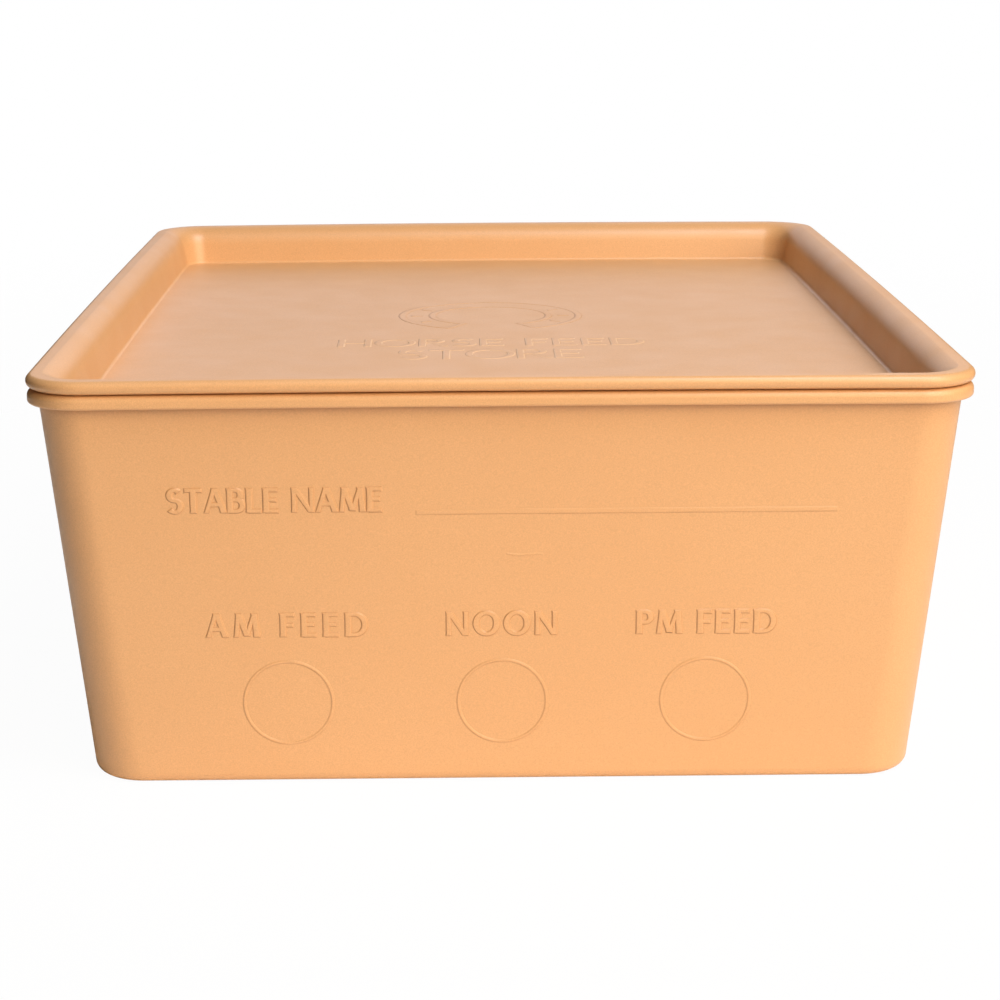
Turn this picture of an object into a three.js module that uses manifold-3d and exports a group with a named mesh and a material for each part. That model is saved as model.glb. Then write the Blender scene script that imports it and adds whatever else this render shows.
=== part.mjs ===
// A stackable horse feed box: a drafted plastic box with a rolled rim, and a lift-off lid shaped
// as a shallow tray, in which the base of the next box stands.
// Millimetres, +Z up. The origin is the middle of the base's underside, and the labelled side
// faces -Y.
//
// Both mouldings are one section carried round a rounded rectangle. A section is drawn in two
// coordinates: the inset, measured inwards from the lid's outer edge, and the height.
import * as THREE from "three";
import { ParametricGeometry } from "three/addons/geometries/ParametricGeometry.js";
import { mergeVertices } from "three/addons/utils/BufferGeometryUtils.js";
import Module from "manifold-3d";

// Overall sizes
const LID_WIDTH = 301;
const LID_DEPTH = 386;
const LID_CORNER = 19.5;
const BOX_HEIGHT = 132.5;
const DRAFT = THREE.MathUtils.degToRad(5);

// Box
const BOX_WALL = 2.2;
const BOX_FLOOR = 2.6;
const BASE_CORNER = 17.6;
const BASE_FILLET = 4;
const INNER_FILLET = 3.5;
const RIM_HEIGHT = 4.5;
const RIM_OVERHANG = 3.6;
const RIM_LIP = 1.9;
const RIM_SETBACK = 0.75;
const RIM_EDGE_RADIUS = 1.6;
const RIM_CHAMFER = 0.6;

// Lid
const LID_EDGE = 4.35;
const LID_WALL = 2.2;
const CREASE_ANGLE = THREE.MathUtils.degToRad(14);
const SHOULDER_RADIUS = 9.5;
const WELL_DEPTH = 16;
const WELL_CORNER = 8.5;
const WELL_FILLET = 1.2;

// Clearances: between the two rims, from the box's inner wall to the lid's plug, and from the
// lid's well to the base of a box that stands in it
const SEAT_GAP = 0.3;
const PLUG_CLEARANCE = 2.1;
const NEST_CLEARANCE = 1.7;

// Raised marks on the front wall: a writing line and three rings, one for each meal
const RELIEF = 0.5;
const RELIEF_SINK = 0.4;
const LINE_WIDTH = 1.1;
const NAME_LINE_LENGTH = 133.8;
const NAME_LINE_DROP = 34.2;
const NAME_LINE_MARGIN = 21;
const RING_RADIUS = 14.3;
const RING_WIDTH = 0.9;
const RING_CREST_WIDTH = 0.5;
const RING_HEIGHT = 28.3;
const RING_PLACES = [-69.2, 0, 65.7];

// Fineness
const CORNER_STEPS = 7;
const ARC_STEPS = 4;
const RING_STEPS = 40;
const WELD = 1e-3;

const QUARTER = Math.PI / 2;

const wasm = await Module();
wasm.setup();

// A closed three.js geometry as a solid, with equal vertices merged and empty triangles dropped.
function solidOf(geometry) {
  const shape = geometry.clone();
  shape.deleteAttribute("normal");
  shape.deleteAttribute("uv");
  const merged = mergeVertices(shape, WELD);
  const index = merged.index.array;
  const triangles = [];
  for (let i = 0; i < index.length; i += 3) {
    const [a, b, c] = index.slice(i, i + 3);
    if (a !== b && b !== c && c !== a) triangles.push(a, b, c);
  }
  return new wasm.Manifold(
    new wasm.Mesh({
      numProp: 3,
      vertProperties: merged.attributes.position.array,
      triVerts: new Uint32Array(triangles),
    }),
  );
}

// A solid as a named mesh.
function meshOf(name, solid, material) {
  const { vertProperties, triVerts } = solid.getMesh();
  const geometry = new THREE.BufferGeometry();
  geometry.setAttribute("position", new THREE.BufferAttribute(vertProperties, 3));
  geometry.setIndex(new THREE.BufferAttribute(triVerts, 1));
  geometry.computeVertexNormals();
  const mesh = new THREE.Mesh(geometry, material);
  mesh.name = name;
  return mesh;
}

// A rounded rectangle at one inset, as points in plan: clockwise from above, with CORNER_STEPS
// steps round each corner.
function planLoop(inset, corner) {
  const halfWidth = Math.max(LID_WIDTH / 2 - inset, 0);
  const halfDepth = LID_DEPTH / 2 - inset;
  const radius = Math.min(corner, halfWidth);
  const points = [];
  for (let quarter = 0; quarter < 4; quarter++) {
    const centreX = (quarter === 0 || quarter === 3 ? 1 : -1) * (halfWidth - radius);
    const centreY = (quarter < 2 ? -1 : 1) * (halfDepth - radius);
    for (let step = 0; step <= CORNER_STEPS; step++) {
      const angle = -(quarter + step / CORNER_STEPS) * QUARTER;
      points.push([centreX + radius * Math.cos(angle), centreY + radius * Math.sin(angle)]);
    }
  }
  points.push(points[0]);
  return points;
}

// Carries a section round the plan. The section's points are { inset, height, corner }, from the
// middle of the upper side outwards, over the edge, and back along the lower side to the middle.
function sweep(section) {
  const loops = section.map(({ inset, corner }) => planLoop(inset, corner));
  const stations = loops[0].length - 1;
  const rows = section.length - 1;
  const place = (u, v, target) => {
    const row = Math.round(v * rows);
    const [x, y] = loops[row][Math.round(u * stations)];
    target.set(x, y, section[row].height);
  };
  return solidOf(new ParametricGeometry(place, stations, rows));
}

// The points of a section drawn as a path, with the plan corner that cornerAt gives each.
function sectionOf(path, cornerAt) {
  const points = path.getPoints(ARC_STEPS);
  return points.map(({ x, y }) => ({ inset: x, height: y, corner: cornerAt(x, y) }));
}

// --- Box -------------------------------------------------------------------------------------

const rimUnderside = BOX_HEIGHT - RIM_HEIGHT;
const wallInset = RIM_SETBACK + RIM_OVERHANG;
const wallAcross = BOX_WALL / Math.cos(DRAFT);

// Inset of the outer wall at a height: it draws in towards the base.
const outerInset = (height) => wallInset + (rimUnderside - height) * Math.tan(DRAFT);

// Inset of the inner wall at a height.
const innerInset = (height) => outerInset(height) + wallAcross;

// Plan corner of the outer wall at a height: it opens out evenly from the rim to the base.
function wallCorner(height) {
  const share = THREE.MathUtils.clamp(1 - height / rimUnderside, 0, 1);
  return THREE.MathUtils.lerp(LID_CORNER - wallInset, BASE_CORNER, share);
}

// Plan corner of any point of the box, round the same centre as the outer wall's.
function boxCorner(inset, height) {
  const level = Math.min(height, rimUnderside);
  return Math.max(wallCorner(level) + outerInset(level) - inset, 1);
}

// Draws the fillet where a wall with some draft stands on a level floor. The wall's face, if it
// went on, would meet the floor at faceInset. It turns from the floor to the wall, or back.
function floorFillet(path, faceInset, floorHeight, radius, draft, towardsWall) {
  const centreInset = faceInset + radius * Math.tan((QUARTER - draft) / 2);
  const floorAngle = -QUARTER;
  const wallAngle = draft - Math.PI;
  const [from, to] = towardsWall ? [floorAngle, wallAngle] : [wallAngle, floorAngle];
  if (towardsWall) path.lineTo(centreInset, floorHeight);
  path.absarc(centreInset, floorHeight + radius, radius, from, to, towardsWall);
}

function boxSection() {
  const middle = LID_WIDTH / 2;
  const round = RIM_EDGE_RADIUS;
  const lipInside = RIM_SETBACK + RIM_LIP;
  const roofUnder = BOX_HEIGHT - BOX_WALL;
  const chamferFoot = BOX_HEIGHT - RIM_CHAMFER;
  const path = new THREE.Path();
  path.moveTo(middle, BOX_FLOOR);
  floorFillet(path, innerInset(BOX_FLOOR), BOX_FLOOR, INNER_FILLET, DRAFT, true);
  path.lineTo(innerInset(chamferFoot), chamferFoot);
  path.lineTo(innerInset(BOX_HEIGHT) - RIM_CHAMFER, BOX_HEIGHT);
  path.absarc(RIM_SETBACK + round, BOX_HEIGHT - round, round, QUARTER, Math.PI, false);
  path.absarc(lipInside, rimUnderside + RIM_LIP, RIM_LIP, Math.PI, 3 * QUARTER, false);
  path.lineTo(lipInside, roofUnder);
  path.lineTo(outerInset(roofUnder), roofUnder);
  floorFillet(path, outerInset(0), 0, BASE_FILLET, DRAFT, false);
  path.lineTo(middle, 0);
  return sectionOf(path, boxCorner);
}

// A solid drawn on the front wall: x across, y up the wall from the given height, z outwards.
function onFrontWall(geometry, across, height) {
  const out = new THREE.Vector3(0, -Math.cos(DRAFT), -Math.sin(DRAFT));
  const up = new THREE.Vector3(0, -Math.sin(DRAFT), Math.cos(DRAFT));
  const right = new THREE.Vector3(1, 0, 0);
  const foot = new THREE.Vector3(across, -LID_DEPTH / 2 + outerInset(height), height);
  const frame = new THREE.Matrix4().makeBasis(right, up, out).setPosition(foot);
  return solidOf(geometry.applyMatrix4(frame));
}

// A writing line with round ends, standing RELIEF proud.
function nameLine() {
  const half = LINE_WIDTH / 2;
  const outline = new THREE.Shape();
  outline.absarc(half, 0, half, QUARTER, 3 * QUARTER, false);
  outline.absarc(NAME_LINE_LENGTH - half, 0, half, -QUARTER, QUARTER, false);
  outline.closePath();
  const geometry = new THREE.ExtrudeGeometry(outline, {
    depth: RELIEF + RELIEF_SINK,
    bevelEnabled: false,
    curveSegments: ARC_STEPS,
  });
  geometry.translate(0, 0, -RELIEF_SINK);
  const height = rimUnderside - NAME_LINE_DROP;
  const flatHalf = LID_WIDTH / 2 - outerInset(height) - wallCorner(height);
  return onFrontWall(geometry, flatHalf - NAME_LINE_MARGIN - NAME_LINE_LENGTH, height);
}

// A raised ring with sloping sides.
function mealRing(across) {
  const foot = RING_WIDTH / 2;
  const crest = RING_CREST_WIDTH / 2;
  const profile = [
    new THREE.Vector2(RING_RADIUS - foot, -RELIEF_SINK),
    new THREE.Vector2(RING_RADIUS + foot, -RELIEF_SINK),
    new THREE.Vector2(RING_RADIUS + crest, RELIEF),
    new THREE.Vector2(RING_RADIUS - crest, RELIEF),
    new THREE.Vector2(RING_RADIUS - foot, -RELIEF_SINK),
  ];
  const geometry = new THREE.LatheGeometry(profile, RING_STEPS);
  geometry.rotateX(QUARTER);
  return onFrontWall(geometry, across, RING_HEIGHT);
}

function feedBox() {
  const shell = sweep(boxSection()).add(nameLine());
  return RING_PLACES.reduce((solid, across) => solid.add(mealRing(across)), shell);
}

// --- Lid -------------------------------------------------------------------------------------

const seatHeight = BOX_HEIGHT + SEAT_GAP;
const lidTop = seatHeight + LID_EDGE;
const wellFloor = lidTop - WELL_DEPTH;

// The shoulder is an arc from the crease beside the flat flange down to the well's wall. Its
// underside is round the same centre, and leaves the seat where the plug clears the box.
const shoulderHeight = lidTop - SHOULDER_RADIUS * Math.cos(CREASE_ANGLE);
const underRadius = SHOULDER_RADIUS - LID_WALL;
const underStart = Math.asin((seatHeight - shoulderHeight) / underRadius);
const plugInset = innerInset(BOX_HEIGHT) + PLUG_CLEARANCE;
const shoulderInset = plugInset - underRadius * Math.cos(underStart);

// The well's wall runs from its foot, just outside a standing box's base, to touch the shoulder.
const wellFoot = outerInset(0) - NEST_CLEARANCE;
const footAcross = wellFoot - shoulderInset;
const footDown = shoulderHeight - wellFloor;
const wellDraft =
  Math.acos(SHOULDER_RADIUS / Math.hypot(footAcross, footDown)) - Math.atan2(footDown, footAcross);

// The lid's plan corner closes in evenly from its edge to the foot of the well's wall.
function lidCorner(inset) {
  return THREE.MathUtils.lerp(LID_CORNER, WELL_CORNER, Math.min(inset / wellFoot, 1));
}

function lidSection() {
  const middle = LID_WIDTH / 2;
  const edge = LID_EDGE / 2;
  const underside = wellFloor - LID_WALL;
  const undersideFoot = wellFoot - LID_WALL * Math.tan((QUARTER - wellDraft) / 2);
  const path = new THREE.Path();
  path.moveTo(middle, wellFloor);
  floorFillet(path, wellFoot, wellFloor, WELL_FILLET, wellDraft, true);
  path.absarc(
    shoulderInset,
    shoulderHeight,
    SHOULDER_RADIUS,
    wellDraft,
    QUARTER - CREASE_ANGLE,
    false,
  );
  path.absarc(edge, lidTop - edge, edge, QUARTER, 3 * QUARTER, false);
  path.absarc(shoulderInset, shoulderHeight, underRadius, underStart, wellDraft, true);
  path.lineTo(undersideFoot, underside);
  path.lineTo(middle, underside);
  return sectionOf(path, lidCorner);
}

// --- Assembly --------------------------------------------------------------------------------

const plastic = () =>
  new THREE.MeshStandardMaterial({ color: 0xeeab6d, roughness: 0.6, metalness: 0 });

const model = new THREE.Group();
model.add(meshOf("feed_box", feedBox(), plastic()));
model.add(meshOf("tray_lid", sweep(lidSection()), plastic()));

export default model;
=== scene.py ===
"""A stackable horse feed box with a tray lid, in soft matte plastic, around its packed frame.

The box and the lid are each a section carried round a rounded rectangle. The marks on them are
low ridges carried along strokes. All lengths are metres, in the frame of the packed model.
"""
import math

import bmesh
import bpy
import numpy as np
from bpy.props import FloatProperty, FloatVectorProperty, PointerProperty, StringProperty
from bpy.types import Operator, Panel, PropertyGroup
from mathutils import Matrix, Vector


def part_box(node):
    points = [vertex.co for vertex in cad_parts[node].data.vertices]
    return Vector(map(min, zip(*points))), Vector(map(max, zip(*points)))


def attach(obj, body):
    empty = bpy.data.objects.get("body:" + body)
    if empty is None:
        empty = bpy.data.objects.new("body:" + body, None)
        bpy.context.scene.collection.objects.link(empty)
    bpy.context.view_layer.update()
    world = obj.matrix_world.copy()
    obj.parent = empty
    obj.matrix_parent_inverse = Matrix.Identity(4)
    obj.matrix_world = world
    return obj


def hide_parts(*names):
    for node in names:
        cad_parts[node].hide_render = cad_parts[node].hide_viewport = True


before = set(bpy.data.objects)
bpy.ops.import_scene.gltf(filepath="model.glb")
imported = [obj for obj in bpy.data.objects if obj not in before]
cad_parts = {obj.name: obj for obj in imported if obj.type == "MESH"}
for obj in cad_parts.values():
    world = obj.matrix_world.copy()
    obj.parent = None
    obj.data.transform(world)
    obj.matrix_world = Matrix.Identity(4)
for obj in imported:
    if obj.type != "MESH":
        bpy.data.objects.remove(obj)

bl_info = {
    "name": "Stackable Feed Box",
    "version": (1, 0, 0),
    "blender": (4, 5, 0),
    "location": "3D View > Sidebar > Feed Box",
    "description": "Builds a moulded feed box, its tray lid and a small studio",
    "category": "Add Mesh",
}

MM = 0.001
BOX_FINISH = "box_moulded_plastic"
LID_FINISH = "lid_moulded_plastic"
QUARTER = math.pi / 2

# The packed model's own box, and where its two mouldings lie
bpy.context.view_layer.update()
BOX_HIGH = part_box("feed_box")[1]
LID_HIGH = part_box("tray_lid")[1]
HALF_WIDTH = LID_HIGH.x
HALF_DEPTH = LID_HIGH.y

# Steps of the surfaces: round the plan, along the sections, and along strokes
CORNER_STEPS = 24
SIDE_STEPS = 26
ARC_STEPS = 14
SMALL_STEPS = 6
WALL_STEPS = 20
BELOW_RIM_STEPS = 10
FLOOR_STEPS = 26
LIP_STEPS = 3
LIP_BACK_STEPS = 5
ROOF_STEPS = 4
SHOULDER_STEPS = 18
EDGE_STEPS = 24
FLANGE_STEPS = 5
STROKE_STEPS = 10
CURVE_STEPS = 40
RING_STEPS = 120
FLOOR_SIDES = 96

# Points closer together than this are one point
SEAM_GAP = 1e-7

# The stretch of wall under the rim where points lie close together
UNDER_RIM = 4 * MM

# How far down the box's walls its sag fades out, and the slow waves of the lid's floor
SAG_FADE = 22 * MM
WAVE_FADE = 45 * MM
WAVE_ACROSS = 210 * MM
WAVE_ALONG = 260 * MM
WAVE_SHIFT_ACROSS = 0.9
WAVE_SHIFT_ALONG = -0.6

# The attribute that paints light and shade on the plastic: above 0 painted shade towards the crease
# colour, below 0 a paler painted highlight
PAINTED_LIGHT = "foot"
PAINTED_SHADE_SHARE = 0.75
LETTER_SHADE = 0.6
FINE_SHADE = 0.25
SHOE_SHADE = 0.35
LID_TEXT_SHADE = -0.65

# Painted shade under the box's rim, on the rim's shoulder under the lid, and at the foot of the
# lid's edge
RIM_SHADE_SHARE = 0.8
RIM_SHADE_FALL = 1.2 * MM
RIM_SHADE_TOP = 2.5 * MM
WALL_SLACK = 0.05 * MM
SHOULDER_BELL = 0.3 * MM
SHOULDER_SHARE = 0.5
SEAT_REACH = 0.7 * MM

# Across a mark's side, from the wall over its foot to its flat top: how far in, in flanks, how
# far up, and how much painted shade in the darker crease colour it has. The flat top has a line
# of points at a share of its half width, and the heights of neighbouring strokes differ by a small
# step.
FLANK_IN = np.array([-1.9, -0.5, -0.25, 0, 0.25, 0.5])
FLANK_UP = np.array([-0.02, 0.05, 0.33, 0.72, 0.95, 1])
FLANK_PAINTED_LIGHT = np.array([0, 1, 0.9, 0.45, 0.1, 0])
RIDGE_DEPTH = 0.3 * MM
TOP_LINE = 0.3
STRAIGHT_TURN = 1e-4
HEIGHT_STEP = 0.004
HEIGHT_STEPS = 5

# Letters, in units of the capital's height: the weight of thin strokes, and the middles of the
# level strokes at the top and at the baseline
THIN = 0.72
TOP_BAR = 0.945
LOW_BAR = 0.055
SAME_POINT = 0.004
FLARE = 0.12

# Marks on the front wall: across from its middle, and up from the base. Letters have the height
# of their baseline, and the line, the rings and the scuff their distance up along the wall. A
# meal has the start and the end of its letters, and the middle of its ring.
CAPITAL = 7.9 * MM
NAME_START = -105.6 * MM
NAME_END = -37.4 * MM
NAME_HEIGHT = 93.4 * MM
LINE_START = -27 * MM
LINE_END = 105.8 * MM
LINE_UP = 93.3 * MM
MEAL_HEIGHT = 51.3 * MM
MEALS = [
    (-94.9 * MM, -43.1 * MM, -69.2 * MM),
    (-18 * MM, 17.6 * MM, 0),
    (43.2 * MM, 88 * MM, 65.7 * MM),
]
RING_UP = 28.4 * MM
SCUFF_ACROSS = np.array([1.6, 3.2, 5.1, 7.2, 9.4, 11.2, 12.8]) * MM
SCUFF_UP = np.array([79.2, 79.0, 78.6, 78.7, 78.9, 79.1, 79.0]) * MM
SCUFF_WIDTH = np.array([0.2, 0.4, 0.55, 0.4, 0.45, 0.35, 0.2]) * MM
SCUFF_RELIEF = 0.07 * MM
SCUFF_FLANK = 0.15 * MM

# Marks on the lid's floor: the horseshoe, then height, start, end and baseline of each row
SHOE_PLACE = 24 * MM
SHOE_ACROSS = 35 * MM
SHOE_ALONG = 33 * MM
SHOE_WEB = 0.66
HEEL_TURN = 28
NAIL_TURNS = (-30, 0, 30, 150, 180, 210)
LID_ROWS = [
    ("lid_text", 15 * MM, -58 * MM, 57 * MM, -44.5 * MM),
    ("lid_text_2", 18.5 * MM, -35.5 * MM, 33 * MM, -70.5 * MM),
]

# The plastic: scales in cells per metre, and the values between which a pattern is read
CLOUDS = {"scale": 14, "detail": 3}
CLOUD_SPAN = (0.35, 0.65)
MOTTLE = {"scale": 2300, "roughness": 0.6}
MOTTLE_DARK = 0.87
SHEEN = {"scale": 60, "detail": 4}
SHEEN_LESS = 0.04
SHEEN_MORE = 0.05
GRAIN = {"scale": 1900, "roughness": 0.6}
GRAIN_STRENGTH = 0.6
NOISE_SPAN = (0.3, 0.7)
SPECK_SCALE = 55
SPECK_EDGE = (0.012, 0.022)
SPECK_CHOICE = (0.86, 0.9)
SPECK_SHARE = 0.6
SPECULAR = 0.65

# Sockets of a Mix node that carry its two colours and its mixed colour
FIRST_COLOUR = 6
SECOND_COLOUR = 7
MIXED_COLOUR = 2

# The studio: a round floor that fades out, three square lights and the camera
FLOOR_RADIUS = 1.3
FLOOR_FADE_START = 0.35
FLOOR_GLOW = 0.97
FLOOR_DROP = 0.05 * MM
FLOOR_NOISE_SCALE = 2
FLOOR_DARK = 0.985
FLOOR_ROUGHNESS = 0.9
FLOOR_SPECULAR = 0.1
HIGH_PLACE = (0.6, -0.66, 1.75)
HIGH_SIZE = 0.9
HIGH_TINT = (0.78, 0.875, 0.95)
FRONT_PLACE = (0.94, -1.41, 0.96)
FRONT_SIZE = 1.5
FRONT_TINT = (0.99, 0.8, 0.585)
BACK_PLACE = (0, 1.65, 1.02)
BACK_SIZE = 1.5
BACK_TINT = (0.92, 0.76, 0.74)
SENSOR_WIDTH = 36
CAMERA_REACH = 100
CAMERA_SHIFT = 0.03
CAMERA_PLACE = (-0.01507, -0.91827, 0.27591)
CAMERA_YAW = math.radians(-0.3906)
CAMERA_PITCH = math.radians(13.7371)
CAMERA_ROLL = math.radians(-0.3964)


# --- Settings --------------------------------------------------------------------------------


def length(name, description, default):
    """A length setting, in metres."""
    return FloatProperty(
        name=name, description=description, default=default, min=0, unit="LENGTH", precision=5
    )


def angle(name, description, degrees):
    """An angle setting, given in degrees."""
    return FloatProperty(
        name=name, description=description, default=math.radians(degrees), unit="ROTATION"
    )


def colour(name, description, default):
    """A colour setting, linear."""
    return FloatVectorProperty(
        name=name, description=description, default=default, min=0, max=1, subtype="COLOR"
    )


def power(name, description, default):
    """A light's power setting, in watts."""
    return FloatProperty(name=name, description=description, default=default, unit="POWER")


class FeedBoxSizes(PropertyGroup):
    """Sizes of the box moulding."""

    draft: angle("Draft", "Lean of the walls, which open upwards", 5)
    wall: length("Wall", "Thickness of the walls", 2.2 * MM)
    floor: length("Floor", "Thickness of the floor", 2.6 * MM)
    base_corner: length("Base corner", "Plan corner of the base", 17.6 * MM)
    base_fillet: length("Base fillet", "Fillet round the outside of the base", 4 * MM)
    inner_fillet: length("Inner fillet", "Fillet round the floor inside", 3.5 * MM)
    rim_height: length("Rim height", "Height of the rolled rim", 4.5 * MM)
    rim_overhang: length("Rim overhang", "How far the rim stands out from the wall", 3.6 * MM)
    rim_lip: length("Rim lip", "Thickness of the rim's hanging lip", 1.9 * MM)
    rim_edge: length("Rim edge", "Rounding of the rim's outer top edge", 2.3 * MM)
    rim_round: length("Rim round", "Rounding of the rim's inner top edge", 0.6 * MM)
    rim_root: length("Rim root", "Fillet where the rim meets the wall", 0.7 * MM)
    sag: length("Rim sag", "How far the rim's corners lie below its middles", 0.4 * MM)


class TrayLidSizes(PropertyGroup):
    """Sizes of the lid moulding."""

    edge: length("Edge", "Thickness of the lid's outer edge", 4.35 * MM)
    corner: length("Corner", "Plan corner of the lid's outer edge", 19.5 * MM)
    wall: length("Wall", "Thickness of the lid", 2.2 * MM)
    crease: angle("Crease", "Slope with which the shoulder leaves the flange", 14)
    shoulder: length("Shoulder", "Radius of the shoulder over the well's wall", 9.5 * MM)
    well_depth: length("Well depth", "Depth of the sunk floor", 16 * MM)
    well_corner: length("Well corner", "Plan corner at the foot of the well", 8.5 * MM)
    well_fillet: length("Well fillet", "Fillet round the sunk floor", 1.2 * MM)
    plug_clearance: length("Plug clearance", "From the box's inner wall to the lid", 2.1 * MM)
    nest_clearance: length("Nest clearance", "From the well to the base of the next box", 1.7 * MM)
    sag: length("Corner sag", "How far the corners lie below the middles of the edges", 0.55 * MM)
    bow: length("Side bow", "How far the edges bow outwards", 0.48 * MM)
    wave: length("Floor wave", "Height of the slow waves in the sunk floor", 0.22 * MM)


class MarkSizes(PropertyGroup):
    """Sizes and wording of the raised marks."""

    relief: length("Relief", "Height of the letters on the front wall", 0.19 * MM)
    fine_relief: length("Fine relief", "Height of the writing line and the rings", 0.09 * MM)
    lid_relief: length("Lid relief", "Height of the marks on the lid", 0.1 * MM)
    flank: length("Flank", "Width of the sloping side of a mark on the front", 0.24 * MM)
    lid_flank: length("Lid flank", "Width of the sloping side of a mark on the lid", 0.4 * MM)
    stem: length("Stem", "Width of an upright stroke of the front letters", 1.7 * MM)
    hair: length("Hair", "Width of a level stroke of the front letters", 1.05 * MM)
    lid_stroke: length("Lid stroke", "Width of the strokes on the lid", 1.9 * MM)
    line_width: length("Line width", "Width of the writing line", 1.1 * MM)
    ring_radius: length("Ring radius", "Radius of a meal ring", 14.3 * MM)
    ring_width: length("Ring width", "Width of a meal ring's ridge", 0.5 * MM)
    name_text: StringProperty(name="Name", description="Beside the line", default="STABLE NAME")
    meal_1: StringProperty(name="First meal", description="Over the left ring", default="AM FEED")
    meal_2: StringProperty(name="Second meal", description="Over the middle ring", default="NOON")
    meal_3: StringProperty(name="Third meal", description="Over the right ring", default="PM FEED")
    lid_text: StringProperty(name="Lid", description="First row on the lid", default="HORSE FEED")
    lid_text_2: StringProperty(name="Lid 2", description="Second row on the lid", default="STORE")


class PlasticLook(PropertyGroup):
    """Colour and finish of the plastic."""

    colour: colour("Colour", "Main colour of the plastic", (0.8, 0.455, 0.215))
    deep: colour("Deep colour", "Colour of its darker clouds", (0.785, 0.435, 0.2))
    # The crease colour is painted shade: round the feet of the marks, under the box's rim and along
    # the lid's edge
    crease: colour("Crease colour", "Colour along the foot of the marks", (0.45, 0.17, 0.05))
    # The rubbed colour is a painted highlight along the flanks of the lid's letters
    painted_highlight: colour("Rubbed colour", "Paler colour of rubbed edges", (0.92, 0.62, 0.37))
    speck: colour("Speck colour", "Colour of the few dark specks", (0.25, 0.1, 0.04))
    roughness: FloatProperty(
        name="Roughness", description="Roughness of the moulded face", default=0.38, min=0, max=1
    )
    grain: length("Grain", "Depth of the fine moulded grain", 0.02 * MM)


class StudioLook(PropertyGroup):
    """Floor, lights and camera."""

    floor: colour("Floor", "Colour of the floor", (0.93, 0.93, 0.93))
    high: power("High", "Power of the high light", 22.5)
    front: power("Front", "Power of the front light", 38.8)
    back: power("Back", "Power of the back light", 9.5)
    lens: FloatProperty(name="Lens", description="Focal length in mm", default=86.157, min=1)


# --- Meshes ----------------------------------------------------------------------------------


def finish_piece(name, points, faces, body, material, foot, merge=False):
    """Makes a smooth mesh object of points and faces, and rides it on a body.

    Points that meet are merged if asked for. The foot goes into the mesh as a value per point.
    """
    mesh = bpy.data.meshes.new(name)
    mesh.from_pydata(points.reshape(-1, 3), [], faces)
    mesh.attributes.new(PAINTED_LIGHT, "FLOAT", "POINT").data.foreach_set("value", foot)
    if merge:
        shape = bmesh.new()
        shape.from_mesh(mesh)
        bmesh.ops.remove_doubles(shape, verts=shape.verts, dist=SEAM_GAP)
        shape.to_mesh(mesh)
        shape.free()
    mesh.shade_smooth()
    mesh.materials.append(material)
    piece = bpy.data.objects.new(name, mesh)
    bpy.context.scene.collection.objects.link(piece)
    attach(piece, body)
    return piece


def grid_faces(rows, stations, start=0, closed_rows=False):
    """Quads of a grid whose stations close on themselves, from vertex number start on."""
    row = np.arange(rows if closed_rows else rows - 1)[:, None]
    station = np.arange(stations)[None, :]
    after_row = (row + 1) % rows
    after = (station + 1) % stations
    corners = [
        row * stations + station,
        after_row * stations + station,
        after_row * stations + after,
        row * stations + after,
    ]
    return (np.stack(corners, axis=-1).reshape(-1, 4) + start).tolist()


# --- Sections carried round the plan ---------------------------------------------------------


def arc(inset, height, radius, start, end, steps=ARC_STEPS):
    """An arc of a section: its centre plus the radius times cosine and sine of even angles."""
    turn = np.linspace(start, end, steps + 1)
    return np.column_stack([inset + radius * np.cos(turn), height + radius * np.sin(turn)])


def straight(start, end, steps):
    """A straight stretch, with points closest together at both ends, as half a cosine wave."""
    share = (1 - np.cos(np.linspace(0, np.pi, steps + 1))) / 2
    start, end = np.array(start), np.array(end)
    return start + share[:, None] * (end - start)


def joined(*stretches):
    """The stretches of a section one after another, without the points that repeat."""
    points = np.concatenate(stretches)
    step = np.linalg.norm(np.diff(points, axis=0), axis=1)
    return points[np.concatenate([[True], step > SEAM_GAP])]


def foot_fillet(face_inset, floor, radius, draft):
    """The fillet from a level floor up to a wall that leans outwards by the draft.

    Its centre is the radius above the floor, and the radius times tan(45 degrees - draft / 2)
    inside the place where the wall's face would meet the floor.
    """
    centre = face_inset + radius * math.tan((QUARTER - draft) / 2)
    return arc(centre, floor + radius, radius, -QUARTER, draft - math.pi)


def carry_round(section, corner):
    """A section of (inset, height) carried round the rounded rectangle, as rows of stations.

    A corner's stations are its centre, which is half the size less inset and radius, plus the
    radius times cosine and sine of the angle. The sides are straight between two corners, with
    stations closest together beside the corners, as half a cosine wave.
    """
    inset, height = section[:, :1], section[:, 1:]
    radius = np.clip(corner[:, None], 0, HALF_WIDTH - inset)
    turn = np.linspace(0, QUARTER, CORNER_STEPS + 1)[None, :]
    arcs = []
    for quarter, (side_x, side_y) in enumerate([(1, 1), (-1, 1), (-1, -1), (1, -1)]):
        x = side_x * (HALF_WIDTH - inset - radius) + radius * np.cos(turn + quarter * QUARTER)
        y = side_y * (HALF_DEPTH - inset - radius) + radius * np.sin(turn + quarter * QUARTER)
        arcs.append(np.stack([x, y], axis=-1))
    share = (1 - np.cos(np.linspace(0, np.pi, SIDE_STEPS + 1)))[1:-1, None] / 2
    loop = []
    for here, after in zip(arcs, arcs[1:] + arcs[:1]):
        loop += [here, here[:, -1:] + share * (after[:, :1] - here[:, -1:])]
    plan = np.concatenate(loop, axis=1)
    level = np.broadcast_to(height[:, :, None], plan.shape[:2] + (1,))
    return np.concatenate([plan, level], axis=-1)


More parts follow.
